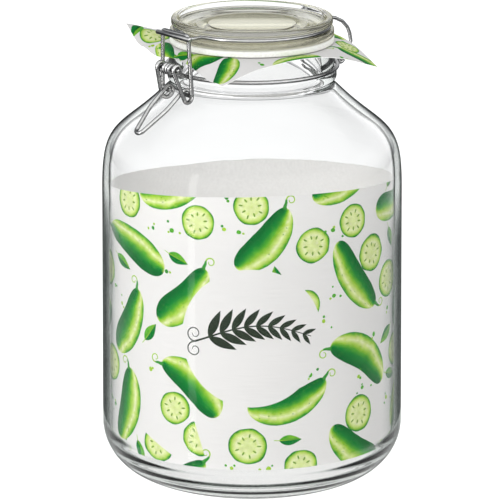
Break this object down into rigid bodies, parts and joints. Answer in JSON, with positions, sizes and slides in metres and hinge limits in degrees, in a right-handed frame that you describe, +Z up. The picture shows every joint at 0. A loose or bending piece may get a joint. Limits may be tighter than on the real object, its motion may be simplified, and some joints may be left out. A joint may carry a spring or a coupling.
{
  "type": "airtight preserving jar",
  "caption": "Round clear glass preserving jar with a wire bail clamp, hinged glass lid, white rubber gasket, a printed paper sleeve inside and a paper square under the lid.",
  "frame": {"origin": "middle of the flat underside of the jar, on the jar's axis", "axes": "+Z up along the jar's axis, -Y towards the clamp, +Y towards the hinge"},
  "size_m": [0.1868, 0.1868, 0.2882],
  "materials": {
    "clear_glass": "pressed soda-lime glass, polished",
    "bright_steel": "bright drawn wire",
    "white_rubber": "matt",
    "printed_paper": "matt coated paper with a printed pattern"
  },
  "bodies": {
    "jar": {"jar_glass": "clear_glass", "paper_sleeve": "printed_paper", "neck_wire": "bright_steel"},
    "lever": {"lever_handle": "bright_steel"},
    "bail": {"bail_loop": "bright_steel"},
    "lid": {"lid_glass": "clear_glass", "rubber_gasket": "white_rubber", "lid_wire": "bright_steel", "paper_square": "printed_paper"}
  },
  "joints": [
    {"name": "lever_turn", "type": "hinge", "parent": "jar", "child": "lever", "pos_m": [0, -0.0643, 0.264], "axis": [-1, 0, 0], "range_deg": [0, 100]},
    {"name": "bail_swing", "type": "hinge", "parent": "lever", "child": "bail", "pos_m": [0, -0.058, 0.2484], "axis": [-1, 0, 0], "range_deg": [-105, 0]},
    {"name": "lid_hinge", "type": "hinge", "parent": "jar", "child": "lid", "pos_m": [0, 0.0606, 0.2555], "axis": [-1, 0, 0], "range_deg": [0, 105]}
  ],
  "couplings": [
    {"joint": "bail_swing", "follows": "lever_turn", "ratio": -1.05}
  ]
}
